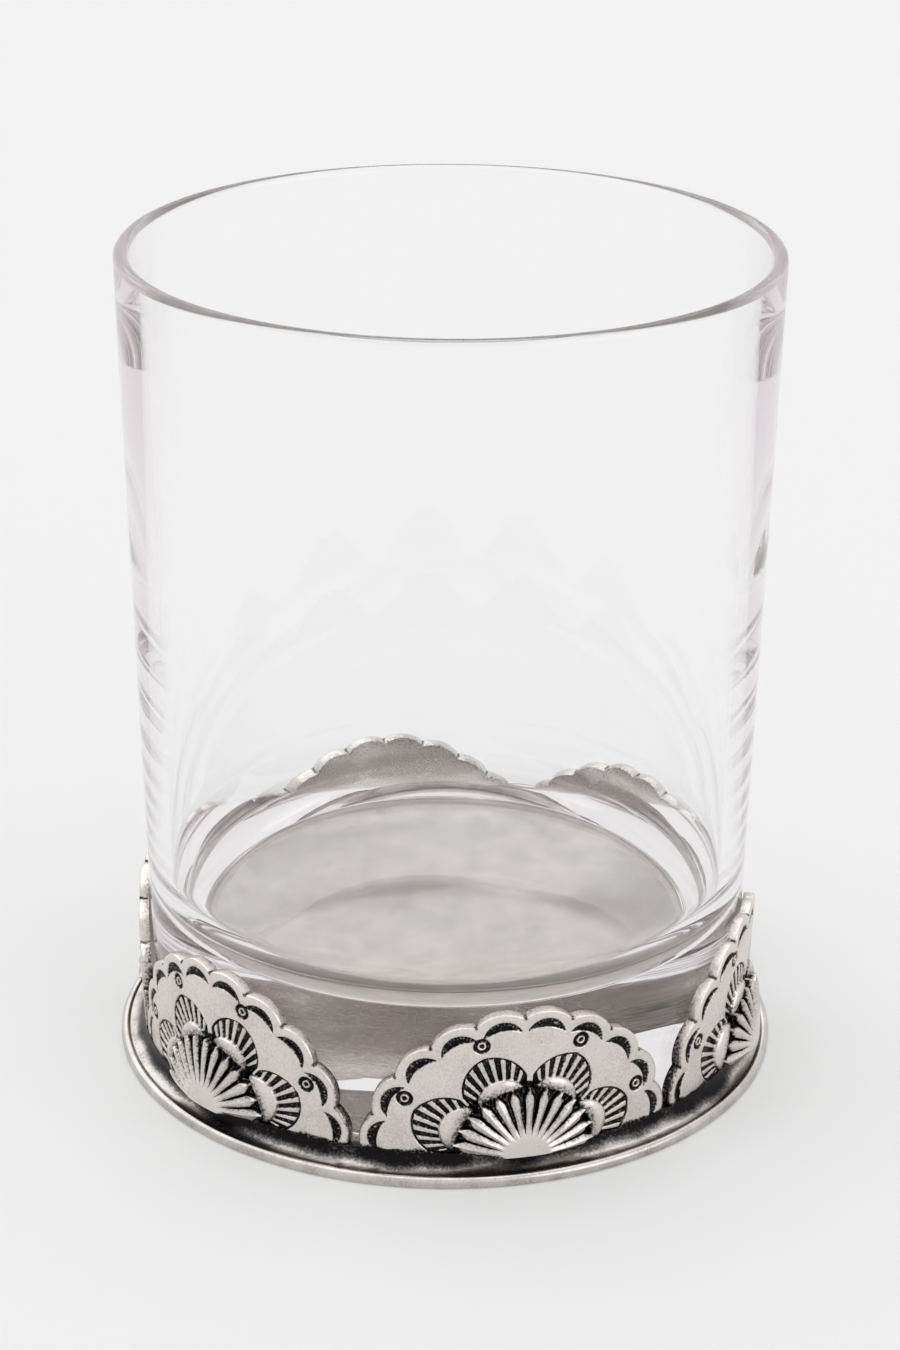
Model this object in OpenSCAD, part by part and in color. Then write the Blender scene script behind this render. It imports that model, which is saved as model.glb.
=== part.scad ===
// Double old fashioned glass: a heavy tumbler that stands in a pewter dish, ringed by six half-round conchos.
// Millimetres, +Z up. The origin is on the table, under the middle of the dish, and concho_1 faces -Y.
// A point on a concho's face is given by s, its arc length to the right of the concho's middle line,
// and by its height, or by an angle from upright and a distance from the concho's centre.

/* [Glass] */
// Outside diameter of the rim
rim_d = 82.5; // [78:0.5:92]
// Outside diameter of the wall, carried down to the plane that the glass stands on
foot_d = 77.3; // [72:0.1:82]
// Height of the glass alone
glass_h = 105.4; // [85:0.2:130]
// Wall thickness at the rim
rim_wall = 1.9; // [1.4:0.1:3]
// Wall thickness where the inside meets the solid base
low_wall = 2.6; // [1.8:0.1:4]
// Thickness of the solid base
base_t = 17.5; // [8:0.5:24]
// Radius of the inside corner between wall and floor
inner_corner_r = 9; // [3:0.5:14]
// Radius of the rounded edge at the foot
foot_edge_r = 2.5; // [1:0.1:4]
// Depth of the hollow under the glass
punt_depth = 0.8; // [0.3:0.1:2]
// Diameter of the hollow under the glass
punt_d = 60; // [40:1:64]

/* [Dish] */
// Thickness of the floor that the glass stands on
floor_t = 2.2; // [1.5:0.1:4]
// Height of the ledge above that floor
ledge_h = 1.1; // [0.8:0.1:2.5]
// How far the flange stands out past the conchos
flange_out = 3.1; // [2.2:0.1:5]
// Height of the rounded lip on the flange's edge
lip_h = 1.5; // [1.3:0.05:1.9]
// Radius of the lip's rounding
lip_r = 0.65; // [0.4:0.05:0.8]
// How far the bottom of the cove lies under the lip
lip_drop = 0.2; // [0.1:0.05:0.4]
// Radius of the flange's lower edge
under_edge_r = 0.4; // [0.2:0.05:0.6]
// Room between the glass and the pewter round it
glass_gap = 0.3; // [0.2:0.05:0.6]

/* [Conchos] */
// Thickness of a concho's plate
plate_t = 1.3; // [1:0.1:2.2]
// Gap between neighbouring conchos at their widest
seam_gap = 0.8; // [0.2:0.1:1.4]
// How far a concho's centre lies under the ledge that it stands on
concho_drop = 1.3; // [0:0.1:2]
// Radius of one scallop lobe
lobe_r = 4.6; // [4:0.1:6]
// Depth of the stamped marks
stamp_depth = 0.35; // [0.15:0.05:0.6]
// Width of the plain border outside a crescent mark
border_w = 1.1; // [0.8:0.05:1.6]
// Thickness of a crescent mark at its middle
crescent_t = 1.05; // [0.5:0.05:1.3]
// Radius of a crescent mark's outer arc
crescent_out_r = 2.55; // [2.2:0.05:2.9]
// Radius of a crescent mark's inner arc
crescent_in_r = 4.4; // [3.2:0.1:5.4]
// Outside diameter of a ring mark
ring_d = 2.1; // [1.4:0.05:2.4]
// Distance of the ring marks from the concho's centre
ring_dist = 17.2; // [16:0.1:17.4]
// Distance of a petal's middle from the concho's centre
petal_dist = 10.9; // [10.4:0.1:11.4]
// Length of a petal
petal_len = 9.8; // [8.4:0.1:10.2]
// Width of a petal
petal_w = 7.5; // [6.8:0.1:8.2]
// Radius of the raised lune at the foot of a petal
lune_r = 3; // [2.6:0.1:3.4]
// Distance of a lune's centre from the concho's centre
lune_dist = 9.2; // [8.8:0.1:9.6]
// Distance of the point that a petal's stripes spread from to the concho's centre
stripe_dist = 6.3; // [5:0.1:8]
// Height of a lune above the face
lune_h = 0.7; // [0.3:0.05:1]

/* [Shell bosses] */
// Radius of a shell out to its rib tips
shell_r = 8.9; // [8.2:0.1:9.2]
// Height of a shell above the face at its middle
shell_h = 2.3; // [1.4:0.1:2.8]
// Height of a shell above the face at its rib tips
shell_edge_h = 1.1; // [0.6:0.1:1.6]
// Depth of the grooves between the ribs at their outer ends
groove_depth = 0.75; // [0.3:0.05:1]
// How far the grooves stop short of the rib tips
tip_len = 1.1; // [0.5:0.1:1.6]
// Height of a shell's centre above the ledge
shell_rise = 0.3; // [0.2:0.1:1]
// Gap between a shell's rib tips and the lunes
moat_w = 0.3; // [0.2:0.1:1]
// Solder line between a shell and its plate
solder_gap = 0.02; // [0.01:0.01:0.05]

/* [Hidden] */
$fn = 96;
concho_n = 6;
lobe_n = 10;
rib_n = 13;
stripe_n = 9;
// Angles from upright, in degrees
lobe_fan = 178;
ring_angles = [-62.2, -21.5, 21.5, 62.2];
petal_angles = [-61, -20.5, 20.5, 61];
stripe_fan = 88;
stripe_share = 0.6;
rib_fan = 182;
// Radii inside a ring mark, as its dark band, bright ring and dark dot show them
ring_band = 0.6;
ring_dot = 0.37;
// Angle on the lip where its rounding gives way to the cove
lip_turn = 125;
// Cutters run past the faces that they cut by this much
over = 1;
arc_steps = 10;
glass_color = [0.9, 0.95, 0.96, 0.35];
pewter_color = [0.66, 0.64, 0.61];
shell_color = [0.72, 0.7, 0.67];

taper = (rim_d - foot_d) / 2 / glass_h;
ledge_z = floor_t + ledge_h;
concho_z = ledge_z - concho_drop;
rim_z = floor_t + glass_h;
pocket_r = glass_r(ledge_z) + glass_gap;
flange_r = face_r(ledge_z) + flange_out;
sector = 360 / concho_n;
lobe_pitch = lobe_fan / lobe_n;
low_lobe_angle = lobe_fan / 2 - lobe_pitch / 2;
// The lowest lobes nearly meet their neighbours, which sets how far out the lobes sit
low_lobe_turn = sector / 2 - asin(lobe_r / pocket_r) - deg(seam_gap / 2 / pocket_r);
lobe_dist = arc_len(low_lobe_turn) / sin(low_lobe_angle);
concho_r = lobe_dist + lobe_r;
crescent_dist = concho_r - border_w - crescent_out_r;
core_r = concho_r - lobe_r / 2;
plate_top = concho_z + concho_r + over;
moat_r = shell_r + moat_w;
shell_z = ledge_z + shell_rise;

function deg(a) = a * 180 / PI;
// Outer radius of the glass at height z
function glass_r(z) = foot_d / 2 + taper * (z - floor_t);
// Radius of a concho's outer face at height z
function face_r(z) = glass_r(z) + glass_gap + plate_t;
// Turn about the axis that covers the arc length s on a concho's face, and the way back
function turn(s) = deg(s / face_r(ledge_z));
function arc_len(a) = a * PI / 180 * face_r(ledge_z);
function arc(c, r, from, to, steps = arc_steps) =
    [for (i = [0:steps]) let (a = from + (to - from) * i / steps) c + r * [cos(a), sin(a)]];

// Tumbler

function punt_arc() =
    let (a = punt_d / 2, r = (a * a + punt_depth * punt_depth) / 2 / punt_depth)
    arc([0, floor_t + punt_depth - r], r, 90, 90 - asin(a / r));

function tumbler_profile() =
    let (
        inner_floor = floor_t + base_t,
        inner_r = glass_r(inner_floor) - low_wall,
        rim_mid = [rim_d / 2 - rim_wall / 2, rim_z - rim_wall / 2]
    )
    concat(
        punt_arc(),
        arc([foot_d / 2 - foot_edge_r, floor_t + foot_edge_r], foot_edge_r, -90, 0),
        arc(rim_mid, rim_wall / 2, 0, 180),
        arc([inner_r - inner_corner_r, inner_floor + inner_corner_r], inner_corner_r, 0, -90),
        [[0, inner_floor]]
    );

module tumbler() {
    color(glass_color)
    rotate_extrude()
    polygon(tumbler_profile());
}

// Dish

function dish_profile() =
    let (
        lip_mid = [flange_r - lip_r, lip_h - lip_r],
        cove_end = flange_r - lip_r * (1 - cos(lip_turn)) - lip_drop / 2,
        cove_w = cove_end - face_r(ledge_z),
        cove_d = ledge_z - (lip_h - lip_drop)
    )
    concat(
        [[0, 0]],
        arc([flange_r - under_edge_r, under_edge_r], under_edge_r, -90, 0),
        arc(lip_mid, lip_r, 0, lip_turn),
        [for (p = arc([0, 0], 1, -90, -180)) [cove_end + p[0] * cove_w, ledge_z + p[1] * cove_d]],
        [[pocket_r, ledge_z], [pocket_r, floor_t], [0, floor_t]]
    );

module base_dish() {
    color(pewter_color)
    rotate_extrude()
    polygon(dish_profile());
}

// Conchos

// A ring that follows the conchos' face, from depth under it to height over it
module face_ring(depth, height) {
    rotate_extrude()
    polygon([
        [face_r(ledge_z) - depth, ledge_z],
        [face_r(ledge_z) + height, ledge_z],
        [face_r(plate_top) + height, plate_top],
        [face_r(plate_top) - depth, plate_top]
    ]);
}

// Stands a flat shape on the face of concho_1, at an angle from upright and a distance from its centre
module on_face(angle, dist) {
    rotate([0, 0, turn(dist * sin(angle))])
    translate([0, 0, concho_z + dist * cos(angle)])
    rotate([90, angle, 0])
    linear_extrude(flange_r + over)
    children();
}

module scallop_outline() {
    for (i = [0:lobe_n - 1])
        on_face(-low_lobe_angle + lobe_pitch * i, lobe_dist)
        circle(lobe_r);
    rotate([90, 0, 0])
    linear_extrude(flange_r + over)
    translate([0, concho_z])
    circle(face_r(ledge_z) * sin(turn(core_r)));
}

module crescent_mark() {
    difference() {
        circle(crescent_out_r);
        translate([0, crescent_out_r - crescent_t - crescent_in_r])
        circle(crescent_in_r);
    }
}

module ring_mark() {
    difference() {
        circle(d = ring_d);
        circle(d = ring_d * ring_band);
    }
    circle(d = ring_d * ring_dot);
}

// Pointed oval with its tips up and down
module petal_outline() {
    half_w = petal_w / 2;
    half_l = petal_len / 2;
    side_r = (half_l * half_l / half_w + half_w) / 2;
    intersection_for (side = [-1, 1])
        translate([side * (side_r - half_w), 0])
        circle(side_r);
}

module petal_stripes() {
    pitch = stripe_fan / stripe_n;
    reach = petal_dist + petal_len - stripe_dist;
    intersection() {
        petal_outline();
        difference() {
            translate([0, stripe_dist - petal_dist])
            for (i = [0:stripe_n - 1])
                rotate((i + 0.5) * pitch - stripe_fan / 2) {
                    half = reach * tan(pitch * stripe_share / 2);
                    polygon([[0, 0], [half, reach], [-half, reach]]);
                }
            translate([0, lune_dist - petal_dist])
            circle(lune_r + stamp_depth / 2);
        }
    }
}

module lunes() {
    difference() {
        for (a = petal_angles)
            on_face(a, lune_dist)
            circle(lune_r);
        on_face(0, concho_drop + shell_rise)
        circle(moat_r);
    }
}

module stamps() {
    for (i = [0:lobe_n - 1])
        on_face(-low_lobe_angle + lobe_pitch * i, crescent_dist)
        crescent_mark();
    for (a = ring_angles)
        on_face(a, ring_dist)
        ring_mark();
    for (a = petal_angles)
        on_face(a, petal_dist)
        petal_stripes();
}

module concho(i) {
    color(pewter_color)
    rotate([0, 0, sector * (i - 1)]) {
        difference() {
            intersection() {
                face_ring(plate_t, 0);
                scallop_outline();
            }
            intersection() {
                face_ring(stamp_depth, over);
                stamps();
            }
        }
        intersection() {
            face_ring(stamp_depth, lune_h);
            lunes();
        }
    }
}

// Shell bosses

// Across one rib: where the points lie, how deep the groove is there, and how far the rib falls short of its tip
rib_steps = [0, 0.25, 0.5, 0.75];
rib_cut = [1, 0.2, 0, 0.2];
rib_short = [1, 0.4, 0, 0.4];
shell_rings = [0.28, 0.5, 0.72, 0.9, 1];
rib_points = len(rib_steps);
shell_last = rib_n * rib_points;
ring_points = shell_last + 1;

// Point of a shell in the frame of concho_1, h above its back, on fan line i and ring share f
function shell_point(i, f, h) =
    let (
        k = i % rib_points,
        angle = -rib_fan / 2 + rib_fan / rib_n * (floor(i / rib_points) + rib_steps[k]),
        dist = f * (shell_r - tip_len * rib_short[k]),
        z = shell_z + dist * cos(angle),
        r = face_r(z) + solder_gap + h,
        a = turn(dist * sin(angle))
    )
    [r * sin(a), -r * cos(a), z];

function shell_height(i, f) =
    shell_edge_h + (shell_h - shell_edge_h) * (1 - f * f) - groove_depth * rib_cut[i % rib_points] * f * f;

// The front's points come first: its middle, then its rings, and the back's points follow in the same order
function shell_points() = concat(
    [shell_point(0, 0, shell_h)],
    [for (f = shell_rings, i = [0:shell_last]) shell_point(i, f, shell_height(i, f))],
    [shell_point(0, 0, 0)],
    [for (f = shell_rings, i = [0:shell_last]) shell_point(i, f, 0)]
);

function ring_start(k) = 1 + k * ring_points;

// One skin of a shell as triangles, turned clockwise seen from the front
function shell_skin() =
    let (last_ring = len(shell_rings) - 1)
    concat(
        [for (i = [0:shell_last - 1]) [0, ring_start(0) + i, ring_start(0) + i + 1]],
        [for (k = [0:last_ring - 1], i = [0:shell_last - 1])
            [ring_start(k) + i, ring_start(k + 1) + i, ring_start(k + 1) + i + 1]],
        [for (k = [0:last_ring - 1], i = [0:shell_last - 1])
            [ring_start(k) + i, ring_start(k + 1) + i + 1, ring_start(k) + i + 1]]
    );

// The edge of a skin, once round: over the rib tips, in along the right side and out along the left
function shell_edge() =
    let (last_ring = len(shell_rings) - 1)
    concat(
        [for (i = [0:shell_last]) ring_start(last_ring) + i],
        [for (k = [last_ring - 1:-1:0]) ring_start(k) + shell_last],
        [0],
        [for (k = [0:last_ring - 1]) ring_start(k)]
    );

function shell_faces() =
    let (
        skin = shell_skin(),
        edge = shell_edge(),
        back = 1 + len(shell_rings) * ring_points,
        n = len(edge)
    )
    concat(
        skin,
        [for (t = skin) [t[2] + back, t[1] + back, t[0] + back]],
        [for (j = [0:n - 1]) let (p = edge[j], q = edge[(j + 1) % n]) [p, p + back, q + back]],
        [for (j = [0:n - 1]) let (p = edge[j], q = edge[(j + 1) % n]) [p, q + back, q]]
    );

module shell_boss(i) {
    color(shell_color)
    rotate([0, 0, sector * (i - 1)])
    polyhedron(shell_points(), shell_faces());
}

tumbler();
base_dish();
for (i = [1:concho_n]) {
    concho(i);
    shell_boss(i);
}
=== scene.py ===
"""Looks of a double old fashioned glass: a clear tumbler in an antique pewter dish with six conchos.

Lengths are millimetres until a mesh is made, and MM turns them into metres.
A point on a concho's face is given by u, its arc length to the right of the concho's middle line,
and v, its height above the ledge that the concho stands on.
A mark's place is an angle from upright, in degrees, and a distance from the concho's centre.
A surface is a pair of arrays: heights over a concho's plain face, and darkness.
Patina gives it in the marks and hollows, and painted shade is added on the lunes, the shells' ribs and the
plates' low ends. It is 0 on bright metal and about 1 where the metal is black.
"""

import math
from collections import namedtuple
from functools import partial

import bpy
import numpy as np
from mathutils import Matrix, Vector

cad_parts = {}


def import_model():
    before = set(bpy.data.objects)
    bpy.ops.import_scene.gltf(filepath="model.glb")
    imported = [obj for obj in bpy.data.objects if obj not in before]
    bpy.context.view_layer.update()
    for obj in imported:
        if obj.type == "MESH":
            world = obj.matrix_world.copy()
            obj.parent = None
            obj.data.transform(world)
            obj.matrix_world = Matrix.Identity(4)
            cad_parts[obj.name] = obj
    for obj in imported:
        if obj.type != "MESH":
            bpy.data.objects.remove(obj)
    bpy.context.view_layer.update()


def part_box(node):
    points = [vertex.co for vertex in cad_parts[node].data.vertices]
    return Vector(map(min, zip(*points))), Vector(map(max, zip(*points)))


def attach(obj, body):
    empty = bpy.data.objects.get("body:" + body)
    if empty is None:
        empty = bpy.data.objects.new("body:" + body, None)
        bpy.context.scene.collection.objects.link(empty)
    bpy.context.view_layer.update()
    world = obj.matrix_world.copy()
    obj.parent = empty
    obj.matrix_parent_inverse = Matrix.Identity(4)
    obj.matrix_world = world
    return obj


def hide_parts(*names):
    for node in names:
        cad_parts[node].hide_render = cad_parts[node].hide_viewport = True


MM = 0.001

# An amount that starts at one value and is full at another, which may be the smaller of the two
Fade = namedtuple("Fade", "amount start full")

# A plate that spreads from a middle: its angles, the reach along each, the shares of the reach at which
# the rings of its front and back lie, the height of its middle over the ledge and of its back over the face
Fan = namedtuple("Fan", "angles reach shares back_shares rise back_h")

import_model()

# Sizes read from the frame

glass_lo, glass_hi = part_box("tumbler")
dish_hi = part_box("base_dish")[1]
RIM_R = max(glass_hi.x, glass_hi.y) / MM
RIM_Z = glass_hi.z / MM
FLOOR_Z = glass_lo.z / MM
LEDGE_Z = dish_hi.z / MM
FLANGE_R = max(dish_hi.x, dish_hi.y) / MM

# Sizes of the glass

FOOT_R = 38.65
RIM_WALL = 1.9
LOW_WALL = 2.6
BASE_T = 17.5
INNER_CORNER_R = 9.0
FOOT_EDGE_R = 2.5
PUNT_R = 30.0
PUNT_DEPTH = 0.8
# The foot is drawn this much above the dish, so that the two faces don't share a plane
SEAT_GAP = 0.03

# Sizes of the dish

GLASS_GAP = 0.3
LIP_H = 1.5
LIP_R = 0.65
LIP_DROP = 0.2
LIP_TURN = 125
UNDER_EDGE_R = 0.4
# Share of the floor's radius at which a ring of points lies
FLOOR_RING = 0.5

# Sizes of the conchos

CONCHO_N = 6
# A concho's centre lies this far below the ledge
CONCHO_DROP = 1.3
PLATE_T = 1.3
SEAM_GAP = 0.8
LOBE_N = 10
LOBE_FAN = 178
LOBE_R = 4.6
EDGE_ROUND = 0.25
BORDER_W = 1.1
BORDER_RISE = Fade(0.05, 1.0, 0.8)
# Waves of the hammered face: their height, rates in radians per millimetre and starts, the rates of
# slanting ones, and the share of the first kind
HAMMER_H = 0.04
HAMMER_RATES = (0.55, 0.6)
HAMMER_STARTS = (1.3, 0.4)
HAMMER_SLANT = (1.1, -0.7)
HAMMER_SHARE = 0.6
STAMP_DEPTH = 0.35
STAMP_WALL = 0.14
CRESCENT_T = 1.15
CRESCENT_OUT_R = 2.55
CRESCENT_IN_R = 4.4
# Hatching on a crescent: waves in a radian, the share of the depth that it rises, and how it fades over
# the distance in from the outer edge
HATCH_WAVES = 34
HATCH_RISE = 0.4
HATCH = Fade(1, 0.75, 0.45)
RING_R = 1.05
RING_BAND = 0.53
RING_DOT = 0.3
RING_DIST = 17.2
RING_ANGLES = (-62.2, -21.5, 21.5, 62.2)
PETAL_ANGLES = (-65.5, -22.5, 22.5, 65.5)
PETAL_DIST = 10.7
PETAL_LEN = 9.4
PETAL_W = 8.3
PETAL_DEPTH = 0.08
# Plain metal between two petals, and the dark line round a petal
PETAL_GAP = 0.4
PETAL_RIM = 0.22
STRIPE_N = 9
STRIPE_FAN = 88
STRIPE_SHARE = 0.54
STRIPE_DIST = 6.3
LUNE_ANGLES = (-61, -20.5, 20.5, 61)
LUNE_R = 3.25
LUNE_DIST = 8.65
LUNE_H = 0.95
# The lunes run in under the points of the shell, and sag towards it by a share that dies away outwards
LUNE_FOOT_R = 8.5
LUNE_FOOT = Fade(1, 0, 0.2)
LUNE_SAG = 0.35
LUNE_SAG_LEN = 0.6
# How far each concho's marks lean, in degrees, as hand-set marks do
LEANS = (3.5, 2.0, -1.5, 1.0, -2.0, -3.0)

# Sizes of the shell bosses

SHELL_R = 8.9
SHELL_RISE = 0.3
SHELL_H = 2.3
SHELL_EDGE_H = 1.1
# A shell is let into its plate by this much
SHELL_SEAT = 0.1
MOAT_W = 0.3
MOAT_DEPTH = 0.1
RIB_N = 13
RIB_FAN = 182
# A rib's share of its pitch beside its point, in the middle of the shell and from the side turn on
RIB_SHARE = 0.6
SIDE_RIB_SHARE = 0.82
SIDE_TURN = 75
# Length of a rib's point, and the share of the width that its end keeps
RIB_POINT = 1.4
RIB_END_SHARE = 0.25
# How far the edge falls back between two ribs, and the power of its curve
TIP_LEN = 1.1
TIP_POWER = 1.3
# Over the share of the shell's radius: how ribs narrow, roofs grow on them and grooves deepen
RIB_NARROWING = Fade(1, 0.24, 0.62)
RIB_ROOF = Fade(0.32, 0.26, 0.46)
GROOVE_DEPTH = Fade(0.75, 0.25, 0.6)
# Over the share of half a pitch past a rib's side: its wall
GROOVE_WALL = Fade(1, -0.05, 0.2)
# Keeps the ends of the fan on the outermost ribs
FAN_MARGIN = 1e-6

# Patina of the dish

UNDERSIDE_STAIN = 0.1
UNDER_EDGE_STAIN = 0.3
# From the flange's side to the cove
LIP_STAINS = (0.24, 0.16)
LIP_WAVER = 0.06
COVE_STAIN = 0.3
COVE_WAVER = 0.1
# Over the share of the way from the lip to the ledge, with a wavering edge
COVE_FOOT_STAIN = Fade(0.68, 0.16, 0.72)
COVE_EDGE_WAVER = 0.22
LEDGE_STAIN = 0.6
POCKET_STAIN = 0.2
FLOOR_STAIN = 0.1
# Waves once round the dish that make its patina uneven, and a factor that sets their starts apart
UNEVEN_WAVES = (3, 7, 11, 18, 31)
UNEVEN_START = 1.7

# Patina of the plates' backs and edges, with tarnish and painted shade added at their low ends, by the
# seams between plates, over the angle from upright

BACK_STAIN = 0.1
EDGE_STAIN = 0.35
EDGE_END_TARNISH_AND_SHADE = Fade(0.55, 50, 78)

# Patina of the conchos' fronts, with painted shade on the lunes and at the low ends

# Over the distance in from the scalloped edge, at the low ends alone for the second, which is tarnish and
# painted shade by the seams between plates
FACE_STAIN = Fade(0.06, 0.4, 1.2)
LOW_END_TARNISH_AND_SHADE = Fade(0.5, 0.55, 0.05)
# Over the angle from upright
LOW_END = Fade(1, 50, 80)
# Over the distance from a notch
NOTCH_STAIN = Fade(0.75, 0.4, 0.1)
CRESCENT_STAIN = 1.15
HATCH_BRIGHT = 0.5
RING_STAIN = 1.1
PETAL_STAIN = 0.15
STRIPE_STAIN = 0.98
MOAT_STAIN = 1.1
# Over the distance in from the moat's edge
MOAT_RIM_STAIN = Fade(0.9, -0.45, -0.1)
# Over the distance out from the shell for two: painted shadow where a lune meets the shell's points, and
# painted shade on the lune's lower flank, which faces down; in from the lune's arc for the third
LUNE_FOOT_SHADOW = Fade(0.6, 0.5, 0.1)
LUNE_FLANK_SHADE = Fade(0.45, 1.8, 0.5)
LUNE_EDGE_STAIN = Fade(0.4, 0.12, 0.0)
# The black along the foot: its height, where it is full, and the heights, rates and starts of its waves
FOOT_DARK_H = 0.7
FOOT_DARK_FULL = 0.1
FOOT_DARK_WAVES = ((0.25, 0.9, 0.5), (0.15, 2.3, 0.0))

# Patina, grime and painted shade of the shell bosses

# Over the share of the shell's radius, and over the share of half a pitch past a rib's side
GROOVE_STAIN = Fade(0.9, 0.26, 0.34)
GROOVE_STAIN_EDGE = Fade(1, -0.06, 0.08)
# Grime and painted shade on a rib's crest, more added on its flanks so that the ribs look round, and how
# both grow over the share of the shell's radius
CREST_GRIME_AND_SHADE = 0.16
FLANK_GRIME_AND_SHADE = 0.3
RIB_GRIME_AND_SHADE = Fade(1, 0.28, 0.5)

# Steps that draw the meshes

LATHE_STEPS = 288
PUNT_STEPS = 12
FOOT_EDGE_STEPS = 12
RIM_STEPS = 20
INNER_CORNER_STEPS = 20
UNDER_EDGE_STEPS = 6
LIP_STEPS = 16
COVE_STEPS = 24
LOBE_STEPS = 48
# From a concho's middle out: under its shell, over its marks and round its edge
HUB_STEPS = 9
FACE_STEPS = 95
EDGE_STEPS = 6
# Shares of the reach at which these stretches meet
HUB_SHARE = 0.36
EDGE_SHARE = 0.97
BACK_STEPS = 8
RIB_STEPS = 40
SHELL_STEPS = 80
SHELL_BACK_STEPS = 4
# Turn between two faces, in degrees, from which their edge is sharp
SHARP_TURN = 55

TAPER = (RIM_R - FOOT_R) / (RIM_Z - FLOOR_Z)


def glass_r(z):
    return FOOT_R + TAPER * (z - FLOOR_Z)


def face_r(z):
    return glass_r(z) + GLASS_GAP + PLATE_T


POCKET_R = glass_r(LEDGE_Z) + GLASS_GAP
FACE_R = face_r(LEDGE_Z)
LOBE_PITCH = LOBE_FAN / LOBE_N
LOBE_ANGLES = [LOBE_PITCH * (i + 0.5) - LOBE_FAN / 2 for i in range(LOBE_N)]
LOW_LOBE_TURN = math.pi / CONCHO_N - math.asin(LOBE_R / POCKET_R) - SEAM_GAP / 2 / POCKET_R
LOBE_DIST = LOW_LOBE_TURN * FACE_R / math.sin(math.radians(LOBE_ANGLES[-1]))
CRESCENT_DIST = LOBE_DIST + LOBE_R - BORDER_W - CRESCENT_OUT_R
SHELL_MIDDLE = (0, SHELL_RISE)
MOAT_R = SHELL_R + MOAT_W


# Helpers

def smooth(start, full, x):
    """0 at start, 1 at full, and an even slope between."""
    t = np.clip((x - start) / (full - start), 0, 1)
    return t * t * (3 - 2 * t)


def faded(fade, x):
    """A fade's amount at x."""
    return fade.amount * smooth(fade.start, fade.full, x)


def evenly(low, high, steps):
    """Even steps from low, which is left out, to high."""
    return np.linspace(low, high, steps + 1)[1:]


def spot(angle, dist):
    """Place on a concho's face."""
    a = math.radians(angle)
    return dist * math.sin(a), dist * math.cos(a) - CONCHO_DROP


def far(u, v, middle):
    return np.hypot(u - middle[0], v - middle[1])


def turned(u, v, middle, angle):
    """Places seen from a middle, with the direction of the angle as upright."""
    a = math.radians(angle)
    du, dv = u - middle[0], v - middle[1]
    return du * math.cos(a) - dv * math.sin(a), du * math.sin(a) + dv * math.cos(a)


def concho_turn(i):
    return 2 * math.pi * i / CONCHO_N


def arc(middle, radius, start, end, steps):
    a = np.radians(np.linspace(start, end, steps + 1))
    return np.stack([middle[0] + radius * np.cos(a), middle[1] + radius * np.sin(a)], -1)


def add_mesh(name, points, faces, finish, patina_and_shade=None):
    """A smooth mesh object from points in metres, with its patina as a value on each point."""
    mesh = bpy.data.meshes.new(name)
    mesh.from_pydata(points.tolist(), [], faces)
    mesh.shade_smooth()
    if patina_and_shade is not None:
        # Darkness on each point: patina, and on the conchos and shells painted shade as well
        stain = mesh.attributes.new("patina_and_shade", "FLOAT", "POINT")
        stain.data.foreach_set("value", patina_and_shade.astype(np.float32))
    mesh.materials.append(finish)
    piece = bpy.data.objects.new(name, mesh)
    bpy.context.scene.collection.objects.link(piece)
    return piece


def dress(piece, body, node):
    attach(piece, body)
    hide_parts(node)


def lathe_faces(rings):
    """Faces between rings of points, closed at both ends by the two points that follow the rings."""
    first = rings * LATHE_STEPS
    last = first + 1
    top = first - LATHE_STEPS
    faces = []
    for j in range(LATHE_STEPS):
        k = (j + 1) % LATHE_STEPS
        faces.append((first, k, j))
        faces.append((last, top + j, top + k))
        for low in range(0, top, LATHE_STEPS):
            high = low + LATHE_STEPS
            faces.append((low + j, low + k, high + k, high + j))
    return faces


def lathe(name, profile, finish, patina_at=None):
    """Turns a profile of (radius, height), which starts and ends on the axis, once round.

    patina_at(turn) gives the patina along the profile at a turn.
    """
    turns = np.linspace(0, 2 * math.pi, LATHE_STEPS, endpoint=False)
    inner = profile[1:-1]
    x = np.outer(inner[:, 0], np.cos(turns))
    y = np.outer(inner[:, 0], np.sin(turns))
    z = np.repeat(inner[:, 1:], LATHE_STEPS, axis=1)
    ends = [[0, 0, profile[0][1]], [0, 0, profile[-1][1]]]
    points = np.concatenate([np.stack([x, y, z], -1).reshape(-1, 3), ends]) * MM
    patina_and_shade = None
    if patina_at is not None:
        stain = np.stack([patina_at(turn) for turn in turns], -1)
        patina_and_shade = np.concatenate([stain[1:-1].ravel(), stain[[0, -1], 0]])
    return add_mesh(name, points, lathe_faces(len(inner)), finish, patina_and_shade)


def fan_points(fan, shares):
    """The fan's middle, and rings of points at shares of each angle's reach."""
    a = np.radians(fan.angles)
    u = np.concatenate([[0.0], np.outer(shares, fan.reach * np.sin(a)).ravel()])
    v = np.concatenate([[0.0], np.outer(shares, fan.reach * np.cos(a)).ravel()])
    return u, v + fan.rise


def fan_faces(rings, count, start, flip):
    faces = [(start, start + i + 2, start + i + 1) for i in range(count - 1)]
    for k in range(rings - 1):
        low = start + 1 + k * count
        high = low + count
        faces += [(low + i, low + i + 1, high + i + 1, high + i) for i in range(count - 1)]
    return [f[::-1] for f in faces] if flip else faces


def fan_foot(rings, count, start):
    """The straight edge of a fan, from its right end over the middle to its left end."""
    right = [start + (k + 1) * count for k in reversed(range(rings))]
    left = [start + k * count + 1 for k in range(rings)]
    return right + [start] + left


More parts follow.
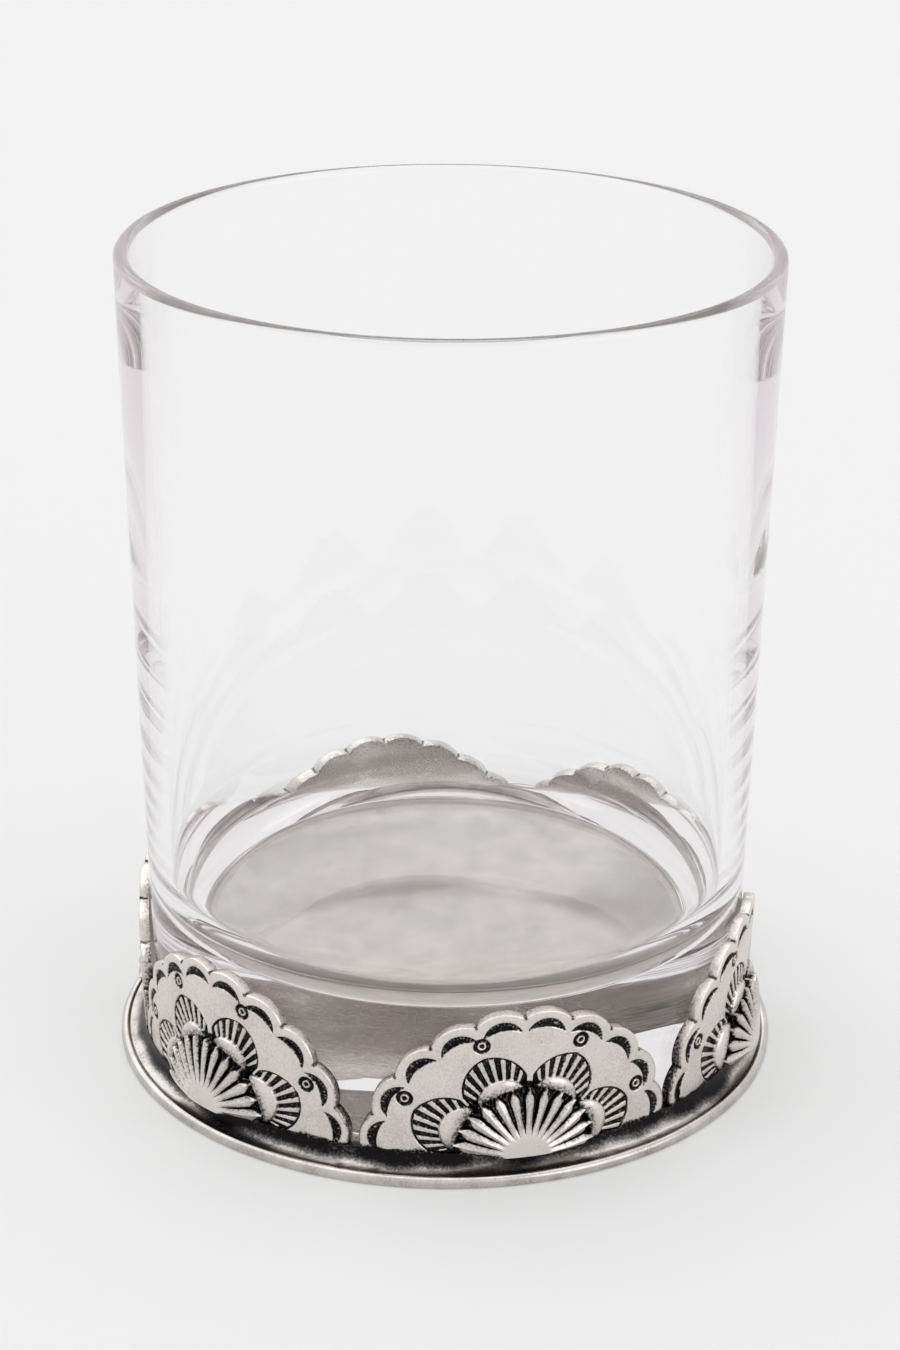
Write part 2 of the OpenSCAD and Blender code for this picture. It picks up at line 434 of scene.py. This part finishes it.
def relief_points(fan, surface, turn):
    """Points of a plate on a concho's face, its front before its back, and their patina."""
    front_u, front_v = fan_points(fan, fan.shares)
    back_u, back_v = fan_points(fan, fan.back_shares)
    height, patina_and_shade = surface(front_u, front_v)
    back_patina_and_shade = np.full(len(back_u), BACK_STAIN)
    # Tarnish on the edges, with painted shade added at the low ends by the seams between plates
    back_patina_and_shade[-len(fan.angles):] = EDGE_STAIN + faded(EDGE_END_TARNISH_AND_SHADE, np.abs(fan.angles))
    z = LEDGE_Z + np.concatenate([front_v, back_v])
    r = face_r(z) + np.concatenate([height, np.full(len(back_u), fan.back_h)])
    a = np.concatenate([front_u, back_u]) / FACE_R + turn
    points = np.stack([r * np.sin(a), -r * np.cos(a), z], -1) * MM
    return points, np.concatenate([patina_and_shade, back_patina_and_shade])


def relief_faces(fan):
    """Faces of a plate's front and back, of the edge between them and of its foot."""
    count, rings, back_rings = len(fan.angles), len(fan.shares), len(fan.back_shares)
    back = 1 + rings * count
    edge = back - count
    back_edge = back + 1 + (back_rings - 1) * count
    faces = fan_faces(rings, count, 0, False) + fan_faces(back_rings, count, back, True)
    faces += [(edge + i, edge + i + 1, back_edge + i + 1, back_edge + i) for i in range(count - 1)]
    faces.append(tuple(fan_foot(rings, count, 0) + fan_foot(back_rings, count, back)[::-1]))
    return faces


def relief(name, fan, surface, finish, turn):
    """A closed plate on a concho's face. surface(u, v) gives its front's surface."""
    points, patina_and_shade = relief_points(fan, surface, turn)
    piece = add_mesh(name, points, relief_faces(fan), finish, patina_and_shade)
    piece.data.set_sharp_from_angle(angle=math.radians(SHARP_TURN))
    return piece


# Materials

WHITE = (1, 1, 1, 1)
# Patterns per metre and detail of the tarnish and of the cast grain
CLOUD_SCALE = 260
CLOUD_DETAIL = 6
GRAIN_SCALE = 3200
GRAIN_DETAIL = 4
GRAIN_H = 0.03
GRAIN_STRENGTH = 0.25
# Patina at which the metal is bright, worn, tarnished and black
PATINA_STOPS = (0.0, 0.3, 0.6, 0.9)
WORN_SHARE = 0.74
TARNISHED = (0.12, 0.112, 0.108)
BLACK = (0.012, 0.011, 0.012)
# How much rougher the blackest metal is than the bright
PATINA_ROUGH = 0.12
GLASS_IOR = 1.5
# Part of a lamp's light that passes a face of the glass
LAMP_PART = (0.985, 0.985, 0.985, 1)
# Faint mauve in the glass as painted shade for the mauve-grey of the rim's ends, and its strength
RIM_SHADE_TINT = (0.74, 0.66, 0.7, 1)
RIM_SHADE_DENSITY = 3.5


def material(name):
    made = bpy.data.materials.new(name)
    made.use_nodes = True
    nodes = made.node_tree.nodes
    return made, nodes, made.node_tree.links, nodes["Principled BSDF"]


def noise(nodes, links, scale, detail):
    """Noise in the part's own space, with the scale in patterns per metre."""
    place = nodes.new("ShaderNodeTexCoord")
    made = nodes.new("ShaderNodeTexNoise")
    made.inputs["Scale"].default_value = scale
    made.inputs["Detail"].default_value = detail
    links.new(place.outputs["Object"], made.inputs["Vector"])
    return made.outputs["Fac"]


def span(nodes, links, value, low, high):
    """Maps 0 to 1 onto low to high."""
    made = nodes.new("ShaderNodeMapRange")
    made.inputs["To Min"].default_value = low
    made.inputs["To Max"].default_value = high
    links.new(value, made.inputs["Value"])
    return made.outputs["Result"]


def join(nodes, links, operation, a, b):
    made = nodes.new("ShaderNodeMath")
    made.operation = operation
    links.new(a, made.inputs[0])
    links.new(b, made.inputs[1])
    return made.outputs[0]


def ramp(nodes, links, value, stops):
    made = nodes.new("ShaderNodeValToRGB")
    elements = made.color_ramp.elements
    for position, _ in stops[1:-1]:
        elements.new(position)
    for element, (position, color) in zip(elements, stops):
        element.position = position
        element.color = (*color, 1)
    links.new(value, made.inputs["Fac"])
    return made.outputs["Color"]


def mix(nodes, links, share, plain, other):
    """A shader that goes from plain to other as the share goes from 0 to 1."""
    made = nodes.new("ShaderNodeMixShader")
    links.new(share, made.inputs["Fac"])
    links.new(plain, made.inputs[1])
    links.new(other, made.inputs[2])
    return made.outputs["Shader"]


def pewter_stain_and_shade(nodes, links, grain, blotch, speckle, mottle):
    """The mesh's patina and painted shade, with blotches of tarnish and specks of grain, which also break
    them up.
    """
    # Patina, with painted shade on the conchos and shells
    patina_and_shade = nodes.new("ShaderNodeAttribute")
    patina_and_shade.attribute_name = "patina_and_shade"
    patina_and_shade = patina_and_shade.outputs["Fac"]
    cloud = noise(nodes, links, CLOUD_SCALE, CLOUD_DETAIL)
    stain = join(nodes, links, "ADD", patina_and_shade, span(nodes, links, cloud, -blotch, blotch))
    stain = join(nodes, links, "ADD", stain, span(nodes, links, grain, -speckle, speckle))
    broken = join(nodes, links, "MULTIPLY", patina_and_shade, span(nodes, links, grain, -mottle, mottle))
    return join(nodes, links, "ADD", stain, broken)


def pewter(name, bright, rough, blotch, speckle, mottle):
    """Satin pewter with a fine cast grain, and black where the mesh says, from patina and from painted
    shade.

    Tarnish and grain shift the patina by up to blotch and speckle, and mottle is the share of the patina
    by which the grain breaks it up.
    """
    made, nodes, links, shader = material(name)
    grain = noise(nodes, links, GRAIN_SCALE, GRAIN_DETAIL)
    stain = pewter_stain_and_shade(nodes, links, grain, blotch, speckle, mottle)
    worn = tuple(c * WORN_SHARE for c in bright)
    stops = list(zip(PATINA_STOPS, (bright, worn, TARNISHED, BLACK)))
    links.new(ramp(nodes, links, stain, stops), shader.inputs["Base Color"])
    links.new(span(nodes, links, stain, rough, rough + PATINA_ROUGH), shader.inputs["Roughness"])
    shader.inputs["Metallic"].default_value = 1.0
    bump = nodes.new("ShaderNodeBump")
    bump.inputs["Strength"].default_value = GRAIN_STRENGTH
    bump.inputs["Distance"].default_value = GRAIN_H * MM
    links.new(grain, bump.inputs["Height"])
    links.new(bump.outputs["Normal"], shader.inputs["Normal"])
    return made


def clear_glass():
    """Clear glass that lets the lamps through to what stands behind it, with a faint mauve in it as painted
    shade for the rim's ends.
    """
    made, nodes, links, shader = material("clear_glass")
    shader.inputs["Base Color"].default_value = WHITE
    shader.inputs["Roughness"].default_value = 0.0
    shader.inputs["IOR"].default_value = GLASS_IOR
    shader.inputs["Transmission Weight"].default_value = 1.0
    through = nodes.new("ShaderNodeBsdfTransparent")
    through.inputs["Color"].default_value = LAMP_PART
    shadow = nodes.new("ShaderNodeLightPath").outputs["Is Shadow Ray"]
    shown = mix(nodes, links, shadow, shader.outputs["BSDF"], through.outputs["BSDF"])
    links.new(shown, nodes["Material Output"].inputs["Surface"])
    # Painted shade: a faint mauve that the glass takes on where it is thick, for the mauve-grey of the
    # rim's ends
    absorb = nodes.new("ShaderNodeVolumeAbsorption")
    absorb.inputs["Color"].default_value = RIM_SHADE_TINT
    absorb.inputs["Density"].default_value = RIM_SHADE_DENSITY
    links.new(absorb.outputs["Volume"], nodes["Material Output"].inputs["Volume"])
    return made


# Tumbler

def tumbler():
    foot_z = FLOOR_Z + SEAT_GAP
    inner_z = FLOOR_Z + BASE_T
    inner_r = glass_r(inner_z) - LOW_WALL
    rim_r = RIM_WALL / 2
    punt_ball = (PUNT_R**2 + PUNT_DEPTH**2) / 2 / PUNT_DEPTH
    punt_end = 90 - math.degrees(math.asin(PUNT_R / punt_ball))
    foot_edge = (FOOT_R - FOOT_EDGE_R, foot_z + FOOT_EDGE_R)
    inner_corner = (inner_r - INNER_CORNER_R, inner_z + INNER_CORNER_R)
    profile = np.concatenate(
        [
            arc((0, foot_z + PUNT_DEPTH - punt_ball), punt_ball, 90, punt_end, PUNT_STEPS),
            arc(foot_edge, FOOT_EDGE_R, -90, 0, FOOT_EDGE_STEPS),
            arc((RIM_R - rim_r, RIM_Z - rim_r), rim_r, 0, 180, RIM_STEPS),
            arc(inner_corner, INNER_CORNER_R, 0, -90, INNER_CORNER_STEPS),
            [[0, inner_z]],
        ]
    )
    dress(lathe("tumbler_glass", profile, clear_glass()), "tumbler", "tumbler")


# Dish

def uneven(turn):
    """An irregular wave round the dish, from -1 to 1."""
    waves = [math.sin(k * turn + UNEVEN_START * k * k) for k in UNEVEN_WAVES]
    return sum(waves) / len(waves)


def base_dish():
    cove_end = FLANGE_R - LIP_R * (1 - math.cos(math.radians(LIP_TURN))) - LIP_DROP / 2
    cove_size = [cove_end - FACE_R, LEDGE_Z - LIP_H + LIP_DROP]
    under = arc((FLANGE_R - UNDER_EDGE_R, UNDER_EDGE_R), UNDER_EDGE_R, -90, 0, UNDER_EDGE_STEPS)
    lip = arc((FLANGE_R - LIP_R, LIP_H - LIP_R), LIP_R, 0, LIP_TURN, LIP_STEPS)
    cove = arc((0, 0), 1, -90, -180, COVE_STEPS) * cove_size + [cove_end, LEDGE_Z]
    pocket = [[POCKET_R, LEDGE_Z], [POCKET_R, FLOOR_Z], [POCKET_R * FLOOR_RING, FLOOR_Z], [0, FLOOR_Z]]
    profile = np.concatenate([[[0, 0]], under, lip, cove, pocket])
    along = np.linspace(0, 1, len(cove))

    def patina_at(turn):
        """Dark at the feet of the conchos, with an uneven edge, and worn bright on the lip."""
        wave = uneven(turn)
        foot = faded(COVE_FOOT_STAIN, along + COVE_EDGE_WAVER * wave)
        return np.concatenate(
            [
                [UNDERSIDE_STAIN],
                np.full(len(under), UNDER_EDGE_STAIN),
                np.linspace(*LIP_STAINS, len(lip)) + LIP_WAVER * wave,
                COVE_STAIN + COVE_WAVER * wave + foot,
                [LEDGE_STAIN, POCKET_STAIN, FLOOR_STAIN, FLOOR_STAIN],
            ]
        )

    finish = pewter(
        "pewter_dish", bright=(0.72, 0.68, 0.645), rough=0.22, blotch=0.35, speckle=0.16, mottle=0.2
    )
    dress(lathe("pewter_dish", profile, finish, patina_at), "base", "base_dish")


# Conchos

def lobe_edge(u, v):
    """Distance in from the scalloped edge."""
    lobes = [LOBE_R - far(u, v, spot(a, LOBE_DIST)) for a in LOBE_ANGLES]
    return np.max([*lobes, LOBE_DIST - far(u, v, spot(0, 0))], axis=0)


def notch(i):
    """Place of the notch before lobe i."""
    half = math.radians(LOBE_PITCH / 2)
    dist = LOBE_DIST * math.cos(half) + math.sqrt(LOBE_R**2 - (LOBE_DIST * math.sin(half)) ** 2)
    return spot(LOBE_PITCH * i - LOBE_FAN / 2, dist)


def crescent(u, v, angle):
    """Distance in from a crescent mark's edge, and a wave along it that draws its hatching."""
    across, up = turned(u, v, spot(angle, CRESCENT_DIST), angle)
    outer = CRESCENT_OUT_R - np.hypot(across, up)
    inner = np.hypot(across, up - CRESCENT_OUT_R + CRESCENT_T + CRESCENT_IN_R) - CRESCENT_IN_R
    wave = 0.5 + 0.5 * np.cos(np.arctan2(across, up) * HATCH_WAVES)
    return np.minimum(outer, inner), wave * faded(HATCH, outer)


def ring_mark(u, v, angle):
    """Distance in from the edges of a ring mark's dark band and dot."""
    r = far(u, v, spot(angle, RING_DIST))
    band = np.minimum(RING_R - r, r - RING_R * RING_BAND)
    return np.maximum(band, RING_R * RING_DOT - r)


def sector(u, v, angle):
    """Distance in from the gaps to the petals on both sides."""
    across, up = turned(u, v, spot(angle, 0), angle)
    half = math.radians((PETAL_ANGLES[1] - PETAL_ANGLES[0]) / 2)
    return up * math.sin(half) - np.abs(across) * math.cos(half) - PETAL_GAP / 2


def stripes(u, v, angle):
    """Distance in from the edges of a petal's dark stripes. Beside their fan, all of it is dark."""
    across, up = turned(u, v, spot(angle, STRIPE_DIST), angle)
    pitch = STRIPE_FAN / STRIPE_N
    a = np.degrees(np.arctan2(across, up)) + STRIPE_FAN / 2
    off = np.abs(a % pitch - pitch / 2)
    inside = np.radians(pitch * STRIPE_SHARE / 2 - off) * np.hypot(across, up)
    return np.where((a > 0) & (a < STRIPE_FAN), inside, np.inf)


def petal(u, v, angle, lune_angle):
    """Distance in from a petal's edge, outside its lune, and from the edges of its stripes and rim."""
    half_w, half_l = PETAL_W / 2, PETAL_LEN / 2
    side_r = (half_l**2 / half_w + half_w) / 2
    across, up = turned(u, v, spot(angle, PETAL_DIST), angle)
    sides = side_r - np.hypot(np.abs(across) + side_r - half_w, up)
    outline = np.minimum(sides, sector(u, v, angle))
    leaf = np.minimum(outline, far(u, v, spot(lune_angle, LUNE_DIST)) - LUNE_R)
    return leaf, np.minimum(leaf, np.maximum(stripes(u, v, angle), PETAL_RIM - outline))


def lune(u, v, angle):
    """Distance in from a lune's arc, and out from the shell that it stands behind."""
    return LUNE_R - far(u, v, spot(angle, LUNE_DIST)), far(u, v, SHELL_MIDDLE) - LUNE_FOOT_R


def hammered(u, v):
    """Shallow waves of a hand-worked plate, from -1 to 1."""
    rate_u, rate_v = HAMMER_RATES
    start_u, start_v = HAMMER_STARTS
    slant_u, slant_v = HAMMER_SLANT
    dents = np.sin(rate_u * u + start_u) * np.cos(rate_v * v + start_v)
    slant = np.sin(slant_u * u + slant_v * v)
    return HAMMER_SHARE * dents + (1 - HAMMER_SHARE) * slant


def leaning(u, v, lean):
    """Places as the marks see them when they are set leaning about the concho's centre."""
    across, up = turned(u, v, spot(0, 0), lean)
    return across, up - CONCHO_DROP


def plain_face(u, v, edge):
    """A concho's surface before it is stamped, with tarnish in its notches, and tarnish and painted shade
    at its low ends by the seams between plates.
    """
    height = HAMMER_H * hammered(u, v) + faded(BORDER_RISE, edge)
    low_end = faded(LOW_END, np.degrees(np.arctan2(np.abs(u), v)))
    # Tarnish and painted shade at the low ends, by the seams between plates
    dark = faded(FACE_STAIN, edge) + low_end * faded(LOW_END_TARNISH_AND_SHADE, edge)
    for i in range(1, LOBE_N):
        dark = np.maximum(dark, faded(NOTCH_STAIN, far(u, v, notch(i))))
    return height, dark


def stamp(surface, inside, depth, stain):
    """Sinks a mark into a surface and stains it, where the distance in from its edge is above 0."""
    height, dark = surface
    sunk = smooth(-STAMP_WALL / 2, STAMP_WALL, inside)
    stained = smooth(-STAMP_WALL / 2, STAMP_WALL / 2, inside)
    return height - depth * sunk, np.maximum(dark, stain * stained)


def stamp_crescents(surface, u, v):
    for angle in LOBE_ANGLES:
        inside, wave = crescent(u, v, angle)
        depth = STAMP_DEPTH * (1 - HATCH_RISE * wave)
        surface = stamp(surface, inside, depth, CRESCENT_STAIN - HATCH_BRIGHT * wave)
    return surface


def stamp_rings(surface, u, v):
    for angle in RING_ANGLES:
        surface = stamp(surface, ring_mark(u, v, angle), STAMP_DEPTH, RING_STAIN)
    return surface


def stamp_petals(surface, u, v):
    for angle, lune_angle in zip(PETAL_ANGLES, LUNE_ANGLES):
        leaf, dark_lines = petal(u, v, angle, lune_angle)
        surface = stamp(surface, leaf, PETAL_DEPTH, PETAL_STAIN)
        surface = stamp(surface, dark_lines, STAMP_DEPTH, STRIPE_STAIN)
    return surface


def sink_moat(surface, u, v):
    """Sinks and blackens the plate round the foot of its shell."""
    inside = MOAT_R - far(u, v, SHELL_MIDDLE)
    height, dark = stamp(surface, inside, MOAT_DEPTH, MOAT_STAIN)
    return height, np.maximum(dark, faded(MOAT_RIM_STAIN, inside))


def raise_lunes(surface, u, v):
    height, dark = surface
    for angle in LUNE_ANGLES:
        inside, behind = lune(u, v, angle)
        dome = np.sqrt(1 - (1 - np.clip(inside / LUNE_R, 0, 1)) ** 2)
        sag = LUNE_SAG * np.exp(-np.maximum(behind, 0) / LUNE_SAG_LEN)
        dome = dome * faded(LUNE_FOOT, behind) * (1 - sag)
        # Painted shadow by the shell's points and painted shade on the lower flank, as light would fall on
        # a lune
        stain = faded(LUNE_FOOT_SHADOW, behind) + faded(LUNE_FLANK_SHADE, behind)
        on = (inside > 0) & (behind > 0)
        height = np.where(on, LUNE_H * dome, height)
        dark = np.where(on, stain + faded(LUNE_EDGE_STAIN, inside), dark)
    return height, dark


def foot_stain(u, v):
    """Black along a concho's foot, with an uneven upper edge."""
    top = FOOT_DARK_H + sum(h * np.sin(rate * u + start) for h, rate, start in FOOT_DARK_WAVES)
    return smooth(top, FOOT_DARK_FULL, v)


def edge_fall(edge):
    """How far the face falls away where it rounds into the scalloped edge."""
    rounding = np.clip(1 - edge / EDGE_ROUND, 0, 1)
    return EDGE_ROUND * (1 - np.sqrt(1 - rounding**2))


def concho_surface(u, v, lean):
    """Surface of a concho's front, with its inner marks leaning."""
    edge = lobe_edge(u, v)
    marks = leaning(u, v, lean)
    surface = plain_face(u, v, edge)
    surface = stamp_crescents(surface, u, v)
    surface = stamp_rings(surface, *marks)
    surface = stamp_petals(surface, *marks)
    surface = sink_moat(surface, u, v)
    height, dark = raise_lunes(surface, *marks)
    return height - edge_fall(edge), np.maximum(dark, foot_stain(u, v))


def lobe_reach(angles):
    """How far the scalloped edge lies from the middle of the ledge line, along each angle."""
    a = np.radians(angles)[:, None]
    middles = np.array([spot(lobe, LOBE_DIST) for lobe in LOBE_ANGLES])
    along = np.sin(a) * middles[:, 0] + np.cos(a) * middles[:, 1]
    inside = LOBE_R**2 - (middles**2).sum(axis=1) + along**2
    return np.where(inside > 0, along + np.sqrt(np.maximum(inside, 0)), 0).max(axis=1)


def lobe_fan():
    """Angles from the middle of the ledge line, with each notch between two lobes on one of them."""
    notches = [notch(i) for i in range(1, LOBE_N)]
    stops = [-90, *[math.degrees(math.atan2(u, v)) for u, v in notches], 90]
    parts = [np.linspace(a, b, LOBE_STEPS, endpoint=False) for a, b in zip(stops, stops[1:])]
    return np.concatenate([*parts, [90]])


def conchos():
    finish = pewter(
        "pewter_concho", bright=(0.76, 0.71, 0.67), rough=0.27, blotch=0.26, speckle=0.34, mottle=0.8
    )
    hub = evenly(0, HUB_SHARE, HUB_STEPS)
    face = evenly(HUB_SHARE, EDGE_SHARE, FACE_STEPS)
    shares = np.concatenate([hub, face, evenly(EDGE_SHARE, 1, EDGE_STEPS)])
    angles = lobe_fan()
    fan = Fan(angles, lobe_reach(angles), shares, evenly(0, 1, BACK_STEPS), 0, -PLATE_T)
    for i in range(CONCHO_N):
        front = partial(concho_surface, lean=LEANS[i])
        piece = relief(f"concho_plate_{i + 1}", fan, front, finish, concho_turn(i))
        dress(piece, "base", f"concho_{i + 1}")


# Shell bosses

def across_rib(angles):
    """0 on the crest of a rib, 1 in the groove beside it."""
    inner = np.clip(angles / RIB_FAN + 0.5, FAN_MARGIN, 1 - FAN_MARGIN)
    return np.abs(inner * RIB_N % 1 * 2 - 1)


def shell_reach(angles, lean):
    return SHELL_R - TIP_LEN * across_rib(angles - lean) ** TIP_POWER


def rib_half(angles, r):
    """Half the width of a rib, as a share of half its pitch."""
    share = RIB_SHARE + (SIDE_RIB_SHARE - RIB_SHARE) * smooth(0, SIDE_TURN, np.abs(angles))
    half = 1 - (1 - share) * faded(RIB_NARROWING, r / SHELL_R)
    return half * np.clip((SHELL_R - r) / RIB_POINT, RIB_END_SHARE, 1)


def shell_surface(u, v, lean):
    """Surface of a shell's front, with its ribs leaning."""
    du, dv = u - SHELL_MIDDLE[0], v - SHELL_MIDDLE[1]
    angles = np.degrees(np.arctan2(du, dv)) - lean
    r = np.hypot(du, dv)
    out = r / SHELL_R
    across = across_rib(angles)
    half = rib_half(angles, r)
    flank = np.minimum(across / half, 1)
    crest = SHELL_H - (SHELL_H - SHELL_EDGE_H) * out**2 - flank * faded(RIB_ROOF, out)
    height = crest - faded(GROOVE_DEPTH, out) * faded(GROOVE_WALL, across - half)
    groove = faded(GROOVE_STAIN, out) * faded(GROOVE_STAIN_EDGE, across - half)
    # Grime, and painted shade that keeps the crests light and darkens the flanks as light would
    rib = (CREST_GRIME_AND_SHADE + FLANK_GRIME_AND_SHADE * flank**2) * faded(RIB_GRIME_AND_SHADE, out)
    return height, np.maximum(groove, rib)


def shell_bosses():
    finish = pewter(
        "pewter_shell", bright=(0.76, 0.72, 0.685), rough=0.22, blotch=0.22, speckle=0.25, mottle=1.0
    )
    angles = np.linspace(-RIB_FAN / 2, RIB_FAN / 2, RIB_N * RIB_STEPS + 1)
    shares = evenly(0, 1, SHELL_STEPS)
    back = evenly(0, 1, SHELL_BACK_STEPS)
    for i in range(CONCHO_N):
        fan = Fan(angles, shell_reach(angles, LEANS[i]), shares, back, SHELL_RISE, -SHELL_SEAT)
        front = partial(shell_surface, lean=LEANS[i])
        piece = relief(f"shell_{i + 1}", fan, front, finish, concho_turn(i))
        dress(piece, "base", f"shell_boss_{i + 1}")


# Stage

# Strength of the pale background as it is seen, and of the light that the world gives
BACKGROUND = 0.888
WORLD_LIGHT = 0.65
FLOOR_COLOR = (0.86, 0.86, 0.86, 1)
FLOOR_ROUGH = 0.9
FLOOR_SHINE = 0.1
# Share of the background that the floor shows
FLOOR_SHARE = 0.28
FLOOR_R = 4000.0
FLOOR_STEPS = 64
CAMERA_TURN = -13.93
CAMERA_DIST = 393.0
CAMERA_Z = 213.9
CAMERA_PITCH = 22.586
CAMERA_YAW = 0.044
CAMERA_ROLL = 0.44
CAMERA_NEAR = 10.0
LENS = 88.0
SENSOR_W = 36
# Light that runs down inside the glass wall is reflected many times before it comes out
LIGHT_BOUNCES = 200


def camera():
    data = bpy.data.cameras.new("camera")
    data.lens = LENS
    data.sensor_width = SENSOR_W
    data.clip_start = CAMERA_NEAR * MM
    seen = bpy.data.objects.new("camera", data)
    turn = math.radians(CAMERA_TURN)
    place = Vector((math.sin(turn) * CAMERA_DIST, -math.cos(turn) * CAMERA_DIST, CAMERA_Z)) * MM
    seen.matrix_world = (
        Matrix.Translation(place)
        @ Matrix.Rotation(turn - math.radians(CAMERA_YAW), 4, "Z")
        @ Matrix.Rotation(math.radians(90 - CAMERA_PITCH), 4, "X")
        @ Matrix.Rotation(math.radians(CAMERA_ROLL), 4, "Z")
    )
    bpy.context.scene.collection.objects.link(seen)
    bpy.context.scene.camera = seen


def straight_rays(nodes, links):
    """1 for rays that show a surface, to the camera or in metal or glass, and 0 for rays of light."""
    path = nodes.new("ShaderNodeLightPath")
    seen = join(nodes, links, "ADD", path.outputs["Is Camera Ray"], path.outputs["Is Transmission Ray"])
    return join(nodes, links, "ADD", seen, path.outputs["Is Glossy Ray"])


def floor():
    made, nodes, links, shader = material("pale_floor")
    shader.inputs["Base Color"].default_value = FLOOR_COLOR
    shader.inputs["Roughness"].default_value = FLOOR_ROUGH
    shader.inputs["Specular IOR Level"].default_value = FLOOR_SHINE
    pale = nodes.new("ShaderNodeEmission")
    pale.inputs["Color"].default_value = WHITE
    pale.inputs["Strength"].default_value = BACKGROUND
    share = span(nodes, links, straight_rays(nodes, links), 0, FLOOR_SHARE)
    shown = mix(nodes, links, share, shader.outputs["BSDF"], pale.outputs["Emission"])
    links.new(shown, nodes["Material Output"].inputs["Surface"])
    disc = arc((0, 0), FLOOR_R, 0, 360, FLOOR_STEPS)[:-1]
    points = np.concatenate([disc, np.zeros((len(disc), 1))], -1) * MM
    add_mesh("floor", points, [tuple(range(len(disc)))], made)


def world():
    made = bpy.data.worlds.new("studio")
    bpy.context.scene.world = made
    made.use_nodes = True
    nodes, links = made.node_tree.nodes, made.node_tree.links
    light = nodes["Background"]
    light.inputs["Color"].default_value = WHITE
    light.inputs["Strength"].default_value = WORLD_LIGHT
    seen = nodes.new("ShaderNodeBackground")
    seen.inputs["Color"].default_value = WHITE
    seen.inputs["Strength"].default_value = BACKGROUND
    rays = straight_rays(nodes, links)
    shown = mix(nodes, links, rays, light.outputs["Background"], seen.outputs["Background"])
    links.new(shown, nodes["World Output"].inputs["Surface"])


def lamp(name, direction, strength, angle):
    """A wide, even light, which glass doesn't show as a white disc."""
    data = bpy.data.lights.new(name, "SUN")
    data.energy = strength
    data.angle = math.radians(angle)
    made = bpy.data.objects.new(name, data)
    made.visible_transmission = False
    made.rotation_euler = Vector(direction).to_track_quat("-Z", "Y").to_euler()
    bpy.context.scene.collection.objects.link(made)


def glass_light_paths():
    paths = bpy.context.scene.cycles
    paths.max_bounces = LIGHT_BOUNCES
    paths.glossy_bounces = LIGHT_BOUNCES
    paths.transmission_bounces = LIGHT_BOUNCES


bpy.context.scene.view_settings.view_transform = "Standard"
camera()
floor()
world()
lamp("back_left", direction=(0.24, -0.44, -1), strength=1.15, angle=95)
lamp("front_right", direction=(-0.6, 0.72, -0.36), strength=0.5, angle=54)
glass_light_paths()
tumbler()
base_dish()
conchos()
shell_bosses()
